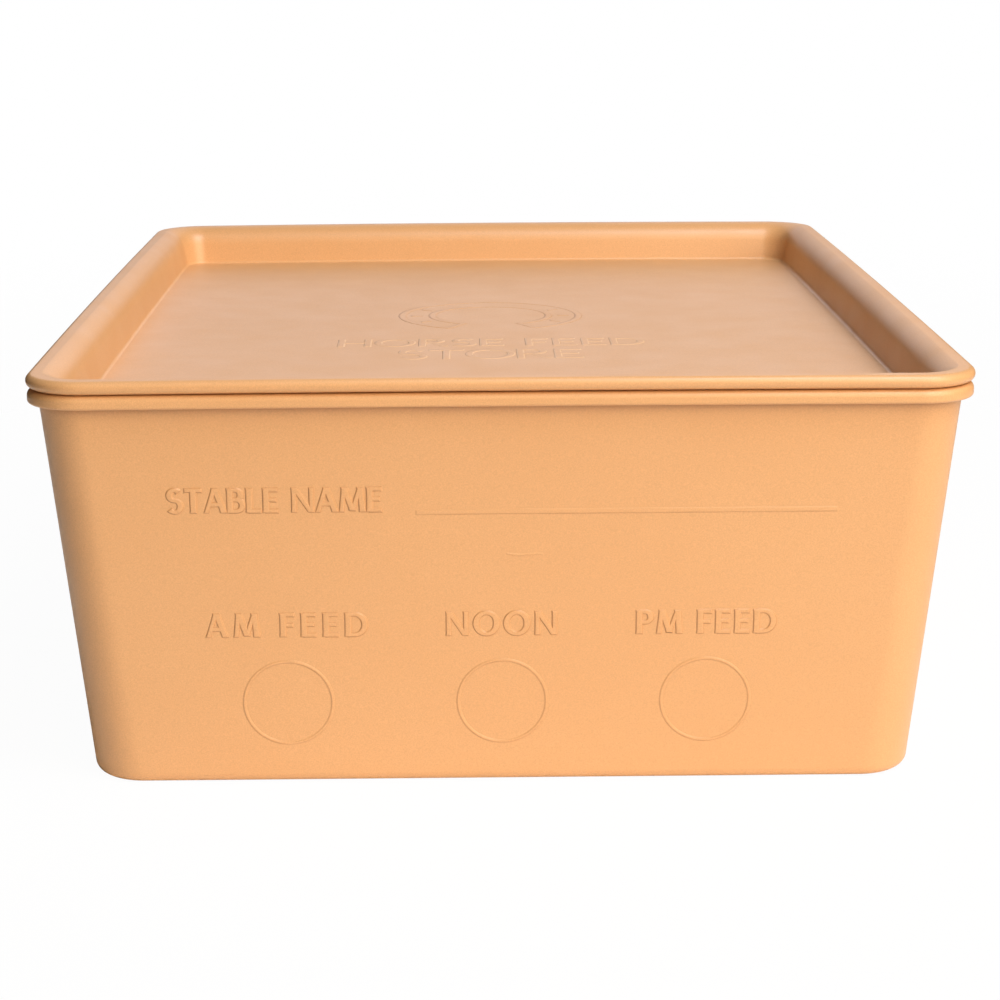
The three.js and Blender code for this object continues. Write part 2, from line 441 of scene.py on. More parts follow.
class Walls:
    """Where the box's walls stand, from its sizes and from the packed model."""

    def __init__(self, sizes):
        self.top = BOX_HIGH.z
        self.under_rim = self.top - sizes.rim_height
        self.setback = HALF_WIDTH - BOX_HIGH.x
        self.under_inset = self.setback + sizes.rim_overhang
        self.draft = sizes.draft
        self.across = sizes.wall / math.cos(sizes.draft)
        self.base_corner = sizes.base_corner

    def outer(self, height):
        """Inset of the outer wall at a height."""
        return self.under_inset + (self.under_rim - height) * math.tan(self.draft)

    def inner(self, height):
        """Inset of the inner wall at a height."""
        return self.outer(height) + self.across

    def corner(self, section, lid_corner):
        """Plan corner of each point: the outer wall's, plus how far outside the wall it is."""
        inset, height = section.T
        level = np.minimum(height, self.under_rim)
        share = np.clip(1 - level / self.under_rim, 0, 1)
        wall = (1 - share) * (lid_corner - self.under_inset) + share * self.base_corner
        return np.maximum(wall + self.outer(level) - inset, MM)


def box_section(sizes, walls):
    """The box's section, from the middle of its floor over the rim to the middle of its base."""
    top, under = walls.top, walls.under_rim
    edge = sizes.rim_edge
    lip = sizes.rim_lip
    roof = top - sizes.wall
    root = sizes.rim_root
    lip_inside = walls.setback + lip
    inner_top = walls.inner(top) - sizes.rim_round
    floor_inset = walls.inner(sizes.floor)
    floor_fillet = foot_fillet(floor_inset, sizes.floor, sizes.inner_fillet, sizes.draft)
    base_fillet = foot_fillet(walls.outer(0), 0, sizes.base_fillet, sizes.draft)[::-1]
    round_height = top - sizes.rim_round
    rim_inner = arc(inner_top, round_height, sizes.rim_round, sizes.draft, QUARTER, SMALL_STEPS)
    rim_outer = arc(walls.setback + edge, top - edge, edge, QUARTER, math.pi)
    lip_outer = arc(walls.setback + lip / 2, under + lip / 2, lip / 2, math.pi, 3 * QUARTER)
    lip_inner = arc(lip_inside - lip / 4, under + lip / 4, lip / 4, -QUARTER, 0, SMALL_STEPS)
    root_arc = arc(walls.outer(roof) - root, roof - root, root, QUARTER, 0, SMALL_STEPS)
    below_rim = (walls.outer(under - UNDER_RIM), under - UNDER_RIM)
    return joined(
        straight((HALF_WIDTH, sizes.floor), floor_fillet[0], FLOOR_STEPS),
        floor_fillet,
        straight(floor_fillet[-1], rim_inner[0], WALL_STEPS),
        rim_inner,
        straight(rim_inner[-1], rim_outer[0], SMALL_STEPS),
        rim_outer,
        straight(rim_outer[-1], lip_outer[0], LIP_STEPS),
        lip_outer,
        straight(lip_outer[-1], lip_inner[0], LIP_STEPS),
        lip_inner,
        straight(lip_inner[-1], (lip_inside, roof), LIP_BACK_STEPS),
        straight((lip_inside, roof), root_arc[0], ROOF_STEPS),
        root_arc,
        straight(root_arc[-1], below_rim, BELOW_RIM_STEPS),
        straight(below_rim, base_fillet[0], WALL_STEPS),
        base_fillet,
        straight(base_fillet[-1], (HALF_WIDTH, 0), FLOOR_STEPS),
    )


def box_painted_shade(section, walls, edge):
    """How much grime lies at each point of the box's section: under the rim, and on its shoulder.

    On the outer wall it is exp(-depth under the rim / fall). On the rim it is a narrow bell
    round the top, exp(-(depth under the top / bell) squared), times the shoulder's share.
    """
    inset, height = section.T
    outside = (inset < walls.outer(height) + WALL_SLACK) & (height < walls.under_rim + RIM_SHADE_TOP)
    under = outside * (inset > walls.under_inset - RIM_SHADE_FALL)
    depth = np.maximum(walls.under_rim - height, 0)
    shoulder = (inset < walls.setback + edge) & (height > walls.under_rim)
    bell = np.exp(-(((walls.top - height) / SHOULDER_BELL) ** 2))
    return np.maximum(under * np.exp(-depth / RIM_SHADE_FALL), shoulder * bell * SHOULDER_SHARE)


def lid_painted_shade(section, lid, well):
    """How much grime lies at each point of the lid's section: along the foot of its outer edge.

    It is one at the seat and falls off evenly with the height above it.
    """
    inset, height = section.T
    foot = np.clip(1 - (height - well.seat) / SEAT_REACH, 0, 1)
    return foot * (inset < lid.edge)


class Well:
    """Where the lid's shoulder and well lie, from its sizes and the box's walls."""

    def __init__(self, lid, walls):
        self.top = LID_HIGH.z
        self.seat = self.top - lid.edge
        self.floor = self.top - lid.well_depth
        self.under_radius = lid.shoulder - lid.wall
        self.shoulder_height = self.top - lid.shoulder * math.cos(lid.crease)
        self.under_start = math.asin((self.seat - self.shoulder_height) / self.under_radius)
        plug = walls.inner(walls.top) + lid.plug_clearance
        self.shoulder_inset = plug - self.under_radius * math.cos(self.under_start)
        self.foot = walls.outer(0) - lid.nest_clearance
        across = self.foot - self.shoulder_inset
        down = self.shoulder_height - self.floor
        self.draft = math.acos(lid.shoulder / math.hypot(across, down)) - math.atan2(down, across)


def lid_section(lid, well):
    """The lid's section, from the middle of the sunk floor over the edge and back underneath."""
    edge = lid.edge / 2
    under = well.floor - lid.wall
    under_foot = well.foot - lid.wall * math.tan((QUARTER - well.draft) / 2)
    centre = (well.shoulder_inset, well.shoulder_height)
    foot = foot_fillet(well.foot, well.floor, lid.well_fillet, well.draft)
    shoulder = arc(*centre, lid.shoulder, well.draft, QUARTER - lid.crease, SHOULDER_STEPS)
    rim = arc(edge, well.top - edge, edge, QUARTER, 3 * QUARTER, EDGE_STEPS)
    under_shoulder = arc(*centre, well.under_radius, well.under_start, well.draft)
    bottom_round = lid.wall / 2
    bottom = foot_fillet(under_foot, under, bottom_round, well.draft)[::-1]
    return joined(
        straight((HALF_WIDTH, well.floor), foot[0], FLOOR_STEPS),
        foot,
        straight(foot[-1], shoulder[0], SMALL_STEPS),
        shoulder,
        straight(shoulder[-1], rim[0], FLANGE_STEPS),
        rim,
        straight(rim[-1], under_shoulder[0], FLANGE_STEPS),
        under_shoulder,
        straight(under_shoulder[-1], bottom[0], SMALL_STEPS),
        bottom,
        straight(bottom[-1], (HALF_WIDTH, under), FLOOR_STEPS),
    )


def settle_box(points, box, walls):
    """The box as it comes out of the mould: the corners of its rim a little low.

    They go down by the sag times (x / half width) squared times (y / half depth) squared, and
    this fades out down the wall with the square of the height above the end of the fade.
    """
    x, y, z = np.moveaxis(points, -1, 0)
    fade = np.clip(1 - (walls.under_rim - z) / SAG_FADE, 0, 1) ** 2
    points[..., 2] -= box.sag * fade * (x / HALF_WIDTH) ** 2 * (y / HALF_DEPTH) ** 2
    return points


def settle(points, lid, well):
    """The lid as it comes out of the mould: corners low, edges bowed, floor a little wavy.

    Corners go down by the sag times (x / half width) squared times (y / half depth) squared.
    The long edges come in by the bow times (y / half depth) squared, and the short ones by the
    bow times (x / half width) squared. The sunk floor rises and falls by the wave times a
    product of slow cosines, faded out towards the well's wall.
    """
    x, y = points[..., 0].copy(), points[..., 1].copy()
    across, along = x / HALF_WIDTH, y / HALF_DEPTH
    points[..., 2] -= lid.sag * across**2 * along**2
    points[..., 0] -= lid.bow * across * along**2
    points[..., 1] -= lid.bow * along * across**2
    inside = np.minimum(HALF_WIDTH - np.abs(x), HALF_DEPTH - np.abs(y)) - well.foot
    fade = np.clip(inside / WAVE_FADE, 0, 1) ** 2
    wave_across = np.cos(x * 2 * np.pi / WAVE_ACROSS + WAVE_SHIFT_ACROSS)
    wave_along = np.cos(y * 2 * np.pi / WAVE_ALONG + WAVE_SHIFT_ALONG)
    points[..., 2] += lid.wave * fade * (wave_across * wave_along - 1) / 2
    return points


# --- Strokes and letters ---------------------------------------------------------------------


def bar(x0, y0, x1, y1, weight=1.0):
    """A straight stroke as (x, y, weight), in units of the capital's height."""
    return np.linspace((x0, y0, weight), (x1, y1, weight), STROKE_STEPS + 1)


def bow(x, y, across, up, start, end):
    """A curved stroke: part of an ellipse round (x, y), between two angles in degrees."""
    turn = np.radians(np.linspace(start, end, CURVE_STEPS + 1))
    return np.column_stack([x + across * np.cos(turn), y + up * np.sin(turn), np.ones_like(turn)])


def run_on(*parts):
    """Strokes one after another as a single stroke, without the points that repeat."""
    points = np.concatenate(parts)
    step = np.linalg.norm(np.diff(points[:, :2], axis=0), axis=1)
    return points[np.concatenate([[True], step > SAME_POINT])]


# Each letter has its width and its strokes, in units of the capital's height
STEM = bar(0.1, 0, 0.1, 1)
LETTERS = {
    " ": (0.34, []),
    "A": (
        0.86,
        [
            bar(0.08, 0, 0.4, 1, THIN),
            bar(0.43, 1, 0.77, 0),
            bar(0.19, 0.33, 0.66, 0.33),
        ],
    ),
    "B": (
        0.7,
        [
            STEM,
            run_on(
                bar(0.1, TOP_BAR, 0.3, TOP_BAR),
                bow(0.3, 0.74, 0.22, 0.205, 90, -90),
                bar(0.3, 0.535, 0.1, 0.535),
            ),
            run_on(
                bar(0.1, 0.535, 0.33, 0.535),
                bow(0.33, 0.295, 0.26, 0.24, 90, -90),
                bar(0.33, LOW_BAR, 0.1, LOW_BAR),
            ),
        ],
    ),
    "D": (
        0.9,
        [
            STEM,
            run_on(
                bar(0.1, TOP_BAR, 0.36, TOP_BAR),
                bow(0.36, 0.5, 0.42, 0.445, 90, -90),
                bar(0.36, LOW_BAR, 0.1, LOW_BAR),
            ),
        ],
    ),
    "E": (
        0.64,
        [
            STEM,
            bar(0.1, TOP_BAR, 0.56, TOP_BAR),
            bar(0.1, 0.52, 0.5, 0.52),
            bar(0.1, LOW_BAR, 0.58, LOW_BAR),
        ],
    ),
    "F": (0.6, [STEM, bar(0.1, TOP_BAR, 0.55, TOP_BAR), bar(0.1, 0.5, 0.5, 0.5)]),
    "H": (0.86, [STEM, bar(0.76, 0, 0.76, 1), bar(0.1, 0.52, 0.76, 0.52)]),
    "L": (0.6, [STEM, bar(0.1, LOW_BAR, 0.57, LOW_BAR)]),
    "M": (
        1.06,
        [
            bar(0.1, 0, 0.2, 1, THIN),
            bar(0.22, 1, 0.53, 0.05),
            bar(0.53, 0.05, 0.84, 1, THIN),
            bar(0.85, 1, 0.94, 0),
        ],
    ),
    "N": (0.9, [bar(0.1, 0, 0.1, 1, THIN), bar(0.13, 1, 0.77, 0), bar(0.8, 0, 0.8, 1, THIN)]),
    "O": (1.0, [bow(0.5, 0.5, 0.42, 0.46, 0, 360)]),
    "P": (
        0.66,
        [
            STEM,
            run_on(
                bar(0.1, TOP_BAR, 0.32, TOP_BAR),
                bow(0.32, 0.715, 0.24, 0.23, 90, -90),
                bar(0.32, 0.485, 0.1, 0.485),
            ),
        ],
    ),
    "R": (
        0.74,
        [
            STEM,
            run_on(
                bar(0.1, TOP_BAR, 0.33, TOP_BAR),
                bow(0.33, 0.725, 0.23, 0.22, 90, -90),
                bar(0.33, 0.505, 0.1, 0.505),
            ),
            bar(0.34, 0.505, 0.66, 0),
        ],
    ),
    "S": (
        0.62,
        [run_on(bow(0.31, 0.735, 0.2, 0.22, 38, 270), bow(0.31, 0.275, 0.23, 0.24, 90, -142))],
    ),
    "T": (0.74, [bar(0.37, 0, 0.37, 1), bar(0.04, TOP_BAR, 0.7, TOP_BAR)]),
}


def text_strokes(text, height, start, end, base):
    """The strokes of a row of letters that fills the stretch from start to end, on a baseline.

    Letters keep their shape, and the spare length is shared out evenly between them. If the row
    is too long for that, it is narrowed to fit.
    """
    widths = np.array([LETTERS[letter][0] for letter in text])
    narrow = min(1, (end - start) / (widths.sum() * height))
    spare = (end - start - widths.sum() * height * narrow) / max(len(text) - 1, 1)
    places = start + np.concatenate([[0], np.cumsum(widths * height * narrow + spare)[:-1]])
    return [
        stroke * (height * narrow, height, 1) + (place, base, 0)
        for letter, place in zip(text, places)
        for stroke in LETTERS[letter][1]
    ]


def horseshoe(x, y, across, along):
    """The strokes of a horseshoe: an outer and an inner open oval, two heels and the nails.

    The ovals are the centre plus the half sizes times cosine and sine of the turn, the inner one
    smaller by the web. A nail lies along the spoke of its turn, in the middle third of the web.
    """
    turn = np.radians(np.linspace(HEEL_TURN, 360 - HEEL_TURN, CURVE_STEPS + 1)) - QUARTER
    rim = np.column_stack([np.cos(turn), np.sin(turn)])
    outer = (x, y) + rim * (across, along)
    inner = (x, y) + rim * (across * SHOE_WEB, along * SHOE_WEB)
    heels = [np.linspace(outer[end], inner[end], STROKE_STEPS + 1) for end in (0, -1)]
    nail_in, nail_out = (1 + 2 * SHOE_WEB) / 3, (2 + SHOE_WEB) / 3
    nails = [
        np.linspace(
            (x + across * nail_in * np.cos(nail), y + along * nail_in * np.sin(nail)),
            (x + across * nail_out * np.cos(nail), y + along * nail_out * np.sin(nail)),
            STROKE_STEPS + 1,
        )
        for nail in np.radians(NAIL_TURNS)
    ]
    return [outer, inner] + heels + nails


def pen_width(stroke, stem, hair, flare):
    """Width along a stroke as a broad pen gives it: the stem upright and the hair lying level.

    It is the hair plus the difference times the squared sine of the stroke's direction, times
    the stroke's weight, and it grows by the flare at both ends with the eighth power of the
    distance from the middle.
    """
    direction = np.gradient(stroke[:, :2], axis=0)
    direction /= np.linalg.norm(direction, axis=1, keepdims=True)
    width = hair + (stem - hair) * direction[:, 1] ** 2
    near_end = np.linspace(-1, 1, len(stroke)) ** 8
    return width * stroke[:, 2] * (1 + flare * near_end)


def ridge(stroke, width, relief, flank, first=0):
    """A closed flat-topped ridge along a stroke, as points (across, up, out), foot and faces.

    Each cross-section has a flat top, two sloping flanks round the stroke's nominal width and
    two thin aprons that run out into the wall. It lies square to a curved stroke, and level or
    upright across a straight one, so that letters end on a straight edge. At an open end the
    height falls along the same flank, and a stroke that ends where it began has no ends. The
    foot is one where the flanks start, and fades out up the flanks and over the aprons. The
    faces count its points from the number first on.
    """
    stroke = stroke[:, :2]
    closed = bool(np.linalg.norm(stroke[0] - stroke[-1]) < SEAM_GAP)
    steps = len(FLANK_IN)
    if closed:
        stroke, width = stroke[:-1], width[:-1]
        direction = np.roll(stroke, -1, axis=0) - np.roll(stroke, 1, axis=0)
        height, dark, bare = np.ones(len(stroke)), np.zeros(len(stroke)), np.ones(len(stroke))
    else:
        start = (stroke[1] - stroke[0]) / np.linalg.norm(stroke[1] - stroke[0])
        end = (stroke[-1] - stroke[-2]) / np.linalg.norm(stroke[-1] - stroke[-2])
        before = stroke[0] + FLANK_IN[:, None] * flank * start
        after = stroke[-1] - FLANK_IN[::-1, None] * flank * end
        middle = np.ones(len(stroke) - 2)
        height = np.concatenate([FLANK_UP, middle, FLANK_UP[::-1]])
        dark = np.concatenate([FLANK_PAINTED_LIGHT, 0 * middle, FLANK_PAINTED_LIGHT[::-1]])
        bare = np.ones(len(height))
        bare[[0, -1]] = 0
        width = np.concatenate([np.full(steps, width[0]), width[1:-1], np.full(steps, width[-1])])
        stroke = np.concatenate([before, stroke[1:-1], after])
        direction = np.gradient(stroke, axis=0)
    direction = direction / np.linalg.norm(direction, axis=1, keepdims=True)
    side = np.column_stack([-direction[:, 1], direction[:, 0]])
    if not closed and np.ptp(direction, axis=0).max() < STRAIGHT_TURN:
        lies_level = abs(direction[0, 0]) > abs(direction[0, 1])
        across_it = np.array([0, 1] if lies_level else [1, 0])
        side[:] = across_it * np.sign(side[0] @ across_it)
    half = width[:, None] / 2
    left = np.concatenate([FLANK_IN * flank - half, -TOP_LINE * half], axis=1)
    across = np.concatenate([left, -left[:, ::-1], half, -half], axis=1)
    up = np.concatenate([FLANK_UP, [1, 1], FLANK_UP[::-1]])
    out = relief * np.minimum(height[:, None], up[None, :])
    under = np.full((len(stroke), 2), -RIDGE_DEPTH)
    plan = stroke[:, None] + across[..., None] * side[:, None]
    points = np.concatenate([plan, np.concatenate([out, under], axis=1)[..., None]], axis=-1)
    shade = np.concatenate([FLANK_PAINTED_LIGHT, [0, 0], FLANK_PAINTED_LIGHT[::-1], [0, 0]])
    foot = np.maximum(dark[:, None], shade[None, :]) * bare[:, None]
    foot[:, [0, 2 * steps + 1]] = 0
    rows, stations = points.shape[:2]
    faces = grid_faces(rows, stations, first, closed)
    if not closed:
        last = first + (rows - 1) * stations
        faces.append(list(range(first, first + stations)))
        faces.append(list(reversed(range(last, last + stations))))
    return points.reshape(-1, 3), foot.ravel(), faces


def ridges(strokes, widths, relief, flank):
    """Several ridges as one set of points, foot and faces.

    Crossing strokes differ a little in height, so that no two tops share a plane.
    """
    all_points, all_foot, all_faces, count = [], [], [], 0
    for number, (stroke, width) in enumerate(zip(strokes, widths)):
        height = relief * (1 - HEIGHT_STEP * (number % HEIGHT_STEPS))
        points, foot, faces = ridge(stroke, width, height, flank, count)
        all_points.append(points)
        all_foot.append(foot)
        all_faces += faces
        count += len(points)
    return np.concatenate(all_points), np.concatenate(all_foot), all_faces


def on_front(points, walls):
    """Puts (across, up the wall, out) onto the front wall.

    Up runs along the wall and out square to it, so both turn with the cosine and sine of its
    lean, from the foot of the wall on.
    """
    lean = walls.draft
    across, up, out = points.T
    y = walls.outer(0) - HALF_DEPTH - up * math.sin(lean) - out * math.cos(lean)
    z = up * math.cos(lean) - out * math.sin(lean)
    return np.column_stack([across, y, z])


def on_lid(points, lid, well):
    """Puts (across, along, out) onto the lid's sunk floor, following its slow waves.

    A place on the level floor settles as the lid does, and then rises by its height out.
    """
    across, along, out = points.T
    flat = np.column_stack([across, along, np.full(len(across), well.floor)])
    laid = settle(flat, lid, well)
    return laid + out[:, None] * (0, 0, 1)


# --- Materials -------------------------------------------------------------------------------


def new_material(name):
    """A material with an empty node tree but for its output and a Principled shader."""
    material = bpy.data.materials.new(name)
    material.use_nodes = True
    nodes, links = material.node_tree.nodes, material.node_tree.links
    nodes.clear()
    output = nodes.new("ShaderNodeOutputMaterial")
    shader = nodes.new("ShaderNodeBsdfPrincipled")
    links.new(shader.outputs["BSDF"], output.inputs["Surface"])
    return material, nodes, links, shader


def noise(nodes, links, place, scale, detail=2.0, roughness=0.5):
    """Fractal noise on a place, with its scale in cells per metre."""
    texture = nodes.new("ShaderNodeTexNoise")
    texture.inputs["Scale"].default_value = scale
    texture.inputs["Detail"].default_value = detail
    texture.inputs["Roughness"].default_value = roughness
    links.new(place, texture.inputs["Vector"])
    return texture.outputs["Fac"]


def spread(nodes, links, value, low, high, to_low=0.0, to_high=1.0):
    """Stretches a value from low..high to another range, and clamps it."""
    node = nodes.new("ShaderNodeMapRange")
    links.new(value, node.inputs["Value"])
    limits = {"From Min": low, "From Max": high, "To Min": to_low, "To Max": to_high}
    for socket, number in limits.items():
        node.inputs[socket].default_value = number
    return node.outputs["Result"]


def mixed(nodes, links, share, first, second):
    """Mixes two colours by a share. A colour is a socket or a linear RGB value."""
    node = nodes.new("ShaderNodeMix")
    node.data_type = "RGBA"
    links.new(share, node.inputs["Factor"])
    for socket, value in (
        (node.inputs[FIRST_COLOUR], first),
        (node.inputs[SECOND_COLOUR], second),
    ):
        if isinstance(value, bpy.types.NodeSocket):
            links.new(value, socket)
        else:
            socket.default_value = (*value, 1)
    return node.outputs[MIXED_COLOUR]


def times(nodes, links, first, second):
    """The product of two values."""
    node = nodes.new("ShaderNodeMath")
    node.operation = "MULTIPLY"
    for socket, value in zip(node.inputs, (first, second)):
        if isinstance(value, bpy.types.NodeSocket):
            links.new(value, socket)
        else:
            socket.default_value = value
    return node.outputs[0]


def moulded_plastic(name, look):
    """Matte moulded plastic: clouds of colour, fine mottling, a few specks and a fine grain."""
    material, nodes, links, shader = new_material(name)
    place = nodes.new("ShaderNodeTexCoord").outputs["Object"]
    clouds = spread(nodes, links, noise(nodes, links, place, **CLOUDS), *CLOUD_SPAN)
    mottle = spread(nodes, links, noise(nodes, links, place, **MOTTLE), *NOISE_SPAN)
    base = mixed(nodes, links, clouds, look.colour, look.deep)
    base = mixed(nodes, links, mottle, base, tuple(MOTTLE_DARK * c for c in look.deep))
    # Painted shade towards the crease colour where the foot attribute is above 0
    foot = nodes.new("ShaderNodeAttribute")
    foot.attribute_name = PAINTED_LIGHT
    shaded = times(nodes, links, foot.outputs["Fac"], PAINTED_SHADE_SHARE)
    base = mixed(nodes, links, shaded, base, look.crease)
    # Painted highlight: below 0 the foot attribute mixes towards the paler colour
    base = mixed(nodes, links, times(nodes, links, foot.outputs["Fac"], -1), base, look.painted_highlight)
    cells = nodes.new("ShaderNodeTexVoronoi")
    cells.inputs["Scale"].default_value = SPECK_SCALE
    links.new(place, cells.inputs["Vector"])
    dots = spread(nodes, links, cells.outputs["Distance"], *SPECK_EDGE, 1, 0)
    split = nodes.new("ShaderNodeSeparateColor")
    links.new(cells.outputs["Color"], split.inputs["Color"])
    chosen = spread(nodes, links, split.outputs["Red"], *SPECK_CHOICE, 0, SPECK_SHARE)
    base = mixed(nodes, links, times(nodes, links, dots, chosen), base, look.speck)
    links.new(base, shader.inputs["Base Color"])
    sheen = noise(nodes, links, place, **SHEEN)
    least, most = look.roughness - SHEEN_LESS, look.roughness + SHEEN_MORE
    rough = spread(nodes, links, sheen, *NOISE_SPAN, least, most)
    links.new(rough, shader.inputs["Roughness"])
    shader.inputs["Specular IOR Level"].default_value = SPECULAR
    fine = nodes.new("ShaderNodeBump")
    fine.inputs["Distance"].default_value = look.grain
    fine.inputs["Strength"].default_value = GRAIN_STRENGTH
    links.new(noise(nodes, links, place, **GRAIN), fine.inputs["Height"])
    links.new(fine.outputs["Normal"], shader.inputs["Normal"])
    return material


def floor_material(look):
    """A pale matte floor that fades out with distance into the white around it."""
    material, nodes, links, shader = new_material("pale_floor")
    place = nodes.new("ShaderNodeTexCoord").outputs["Object"]
    shade = spread(nodes, links, noise(nodes, links, place, FLOOR_NOISE_SCALE), *NOISE_SPAN)
    base = mixed(nodes, links, shade, look.floor, tuple(FLOOR_DARK * c for c in look.floor))
    links.new(base, shader.inputs["Base Color"])
    shader.inputs["Roughness"].default_value = FLOOR_ROUGHNESS
    shader.inputs["Specular IOR Level"].default_value = FLOOR_SPECULAR
    distance = nodes.new("ShaderNodeVectorMath")
    distance.operation = "LENGTH"
    links.new(place, distance.inputs[0])
    fade = nodes.new("ShaderNodeMapRange")
    fade.interpolation_type = "SMOOTHSTEP"
    fade.inputs["From Min"].default_value = FLOOR_FADE_START
    fade.inputs["From Max"].default_value = FLOOR_RADIUS
    links.new(distance.outputs["Value"], fade.inputs["Value"])
    glow = nodes.new("ShaderNodeEmission")
    seen = nodes.new("ShaderNodeMixShader")
    path = nodes.new("ShaderNodeLightPath")
    share = times(nodes, links, path.outputs["Is Camera Ray"], FLOOR_GLOW)
    links.new(share, seen.inputs["Fac"])
    links.new(shader.outputs["BSDF"], seen.inputs[1])
    links.new(glow.outputs["Emission"], seen.inputs[2])
    clear = nodes.new("ShaderNodeBsdfTransparent")
    blend = nodes.new("ShaderNodeMixShader")
    output = next(node for node in nodes if node.type == "OUTPUT_MATERIAL")
    links.new(fade.outputs["Result"], blend.inputs["Fac"])
    links.new(seen.outputs["Shader"], blend.inputs[1])
    links.new(clear.outputs["BSDF"], blend.inputs[2])
    links.new(blend.outputs["Shader"], output.inputs["Surface"])
    return material


def white_world():
    """A world that looks plain white behind the object and adds no light of its own."""
    world = bpy.data.worlds.new("studio_world")
    world.use_nodes = True
    nodes, links = world.node_tree.nodes, world.node_tree.links
    dark = nodes["Background"]
    dark.inputs["Color"].default_value = (0, 0, 0, 1)
    seen = nodes.new("ShaderNodeBackground")
    seen.inputs["Color"].default_value = (1, 1, 1, 1)
    blend = nodes.new("ShaderNodeMixShader")
    links.new(nodes.new("ShaderNodeLightPath").outputs["Is Camera Ray"], blend.inputs["Fac"])
    links.new(dark.outputs["Background"], blend.inputs[1])
    links.new(seen.outputs["Background"], blend.inputs[2])
    links.new(blend.outputs["Shader"], nodes["World Output"].inputs["Surface"])
    return world


# --- Operators -------------------------------------------------------------------------------


class FEEDBOX_OT_box(Operator):
    """Makes the box: its section carried round the plan."""

    bl_idname = "feedbox.box"
    bl_label = "Feed Box"

    def execute(self, context):
        scene = context.scene
        walls = Walls(scene.feed_box_sizes)
        section = box_section(scene.feed_box_sizes, walls)
        points = carry_round(section, walls.corner(section, scene.tray_lid_sizes.corner))
        points = settle_box(points, scene.feed_box_sizes, walls)
        plastic = moulded_plastic(BOX_FINISH, scene.plastic_look)
        faces = grid_faces(*points.shape[:2])
        # Painted shade under the rim and on its shoulder, in the crease colour
        rim_shade = box_painted_shade(section, walls, scene.feed_box_sizes.rim_edge)
        foot = np.repeat(RIM_SHADE_SHARE * rim_shade, points.shape[1])
        piece = finish_piece("box_shell", points, faces, "box", plastic, foot, True)
        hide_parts("feed_box")
        return {"FINISHED"}


class FEEDBOX_OT_lid(Operator):
    """Makes the tray lid: its section carried round the plan, then settled as moulded."""

    bl_idname = "feedbox.lid"
    bl_label = "Tray Lid"

    def execute(self, context):
        scene = context.scene
        lid = scene.tray_lid_sizes
        well = Well(lid, Walls(scene.feed_box_sizes))
        section = lid_section(lid, well)
        share = np.clip(section[:, 0] / well.foot, 0, 1)
        corner = lid.corner + share * (lid.well_corner - lid.corner)
        points = settle(carry_round(section, corner), lid, well)
        plastic = moulded_plastic(LID_FINISH, scene.plastic_look)
        faces = grid_faces(*points.shape[:2])
        # Painted shade along the foot of the lid's outer edge, in the crease colour
        foot = np.repeat(lid_painted_shade(section, lid, well), points.shape[1])
        piece = finish_piece("lid_shell", points, faces, "lid", plastic, foot, True)
        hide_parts("tray_lid")
        return {"FINISHED"}


class FEEDBOX_OT_front_marks(Operator):
    """Makes the marks on the front wall: labels, writing line and meal rings."""

    bl_idname = "feedbox.front_marks"
    bl_label = "Front Marks"

    def execute(self, context):
        scene = context.scene
        marks = scene.mark_sizes
        walls = Walls(scene.feed_box_sizes)
        plastic = bpy.data.materials[BOX_FINISH]

        def add(name, strokes, widths, relief, shade):
            points, foot, faces = ridges(strokes, widths, relief, marks.flank)
            placed = on_front(points, walls)
            # The foot times the shade is painted shade round the marks
            finish_piece(name, placed, faces, "box", plastic, foot * shade)

        def write(name, text, start, end, height):
            up = height / math.cos(walls.draft)
            strokes = text_strokes(text, CAPITAL, start, end, up)
            widths = [pen_width(stroke, marks.stem, marks.hair, FLARE) for stroke in strokes]
            add(name, strokes, widths, marks.relief, LETTER_SHADE)

        write("name_label", marks.name_text, NAME_START, NAME_END, NAME_HEIGHT)
        line = np.linspace((LINE_START, LINE_UP), (LINE_END, LINE_UP), RING_STEPS)
        widths = [np.full(RING_STEPS, marks.line_width)]
        add("name_line", [line], widths, marks.fine_relief, FINE_SHADE)
        turn = np.linspace(0, 2 * np.pi, RING_STEPS + 1)
        circle = marks.ring_radius * np.column_stack([np.cos(turn), np.sin(turn)])
        widths = [np.full(RING_STEPS + 1, marks.ring_width)]
        for number, (start, end, centre) in enumerate(MEALS, start=1):
            write(f"meal_{number}_label", getattr(marks, f"meal_{number}"), start, end, MEAL_HEIGHT)
            ring = circle + (centre, RING_UP)
            ring[-1] = ring[0]
            add(f"meal_{number}_ring", [ring], widths, marks.fine_relief, FINE_SHADE)
        scuff = np.column_stack([SCUFF_ACROSS, SCUFF_UP])
        points, foot, faces = ridge(scuff, SCUFF_WIDTH, SCUFF_RELIEF, SCUFF_FLANK)
        placed = on_front(points, walls)
        finish_piece("scuff", placed, faces, "box", plastic, foot * 0)
        return {"FINISHED"}


